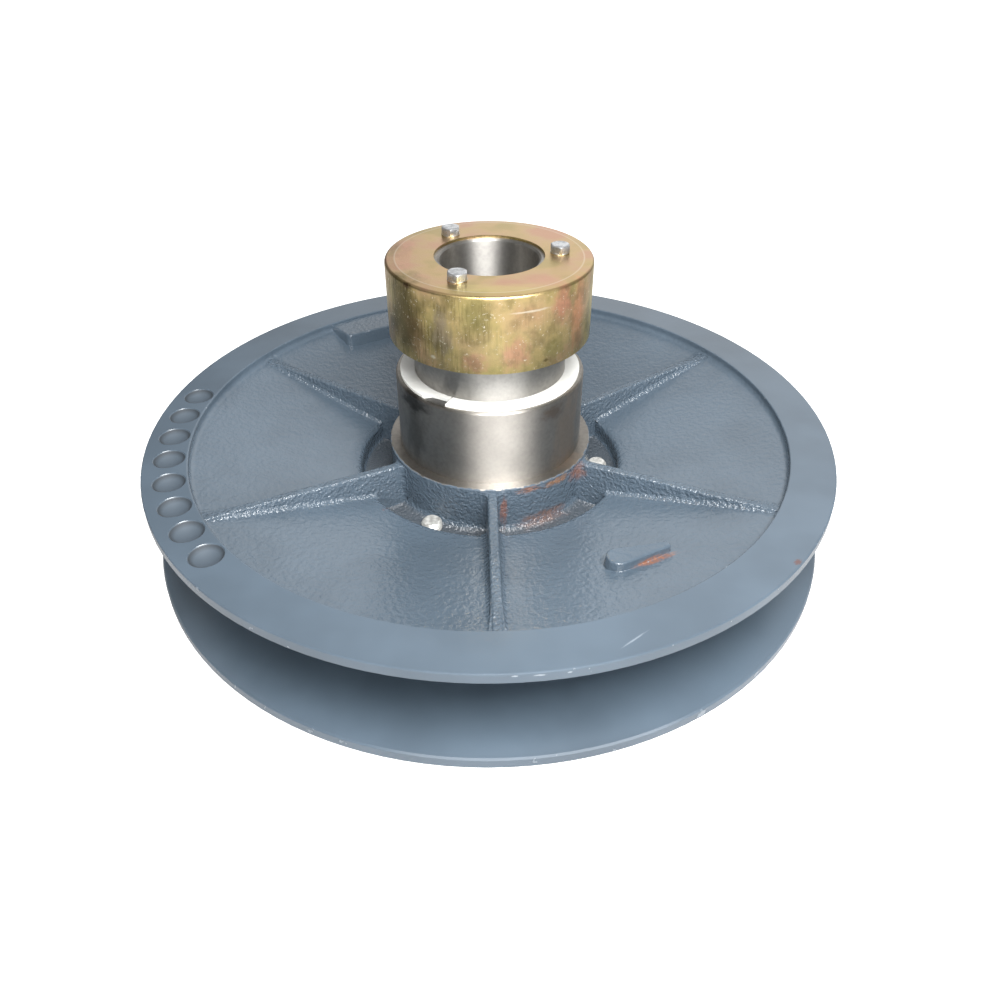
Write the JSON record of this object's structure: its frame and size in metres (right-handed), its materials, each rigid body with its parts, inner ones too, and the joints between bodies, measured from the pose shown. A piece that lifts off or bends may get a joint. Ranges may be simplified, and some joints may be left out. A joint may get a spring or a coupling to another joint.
{
  "type": "variable speed pulley",
  "caption": "Variable speed V-belt pulley: a fixed half sheave with a hub tube, and a ribbed moving half sheave that slides along it on bushes.",
  "frame": {"origin": "on the pulley's axis, in the plane of the fixed rim that it stands on", "axes": "+Z along the axis, from the fixed half towards the moving half and the end cup; -Y towards the shaft keyway"},
  "size_m": [0.404, 0.404, 0.1716],
  "materials": {
    "enamel": "slate grey enamel over cast iron",
    "nylon": "natural white nylon, turned",
    "drive_steel": "machined steel, oiled",
    "zinc_screw": "bright zinc plated",
    "yellow_zinc": "yellow passivated zinc on pressed steel"
  },
  "bodies": {
    "fixed_half": {"fixed_sheave": "enamel", "end_cup": "yellow_zinc", "cup_screws": "zinc_screw"},
    "moving_half": {"moving_sheave": "enamel", "upper_bush": "nylon", "lower_bush": "nylon", "drive_ring": "drive_steel", "drive_screws": "zinc_screw"}
  },
  "joints": [
    {"name": "groove_slide", "type": "slide", "parent": "fixed_half", "child": "moving_half", "axis": [0, 0, 1], "range_m": [0, 0.04]}
  ]
}
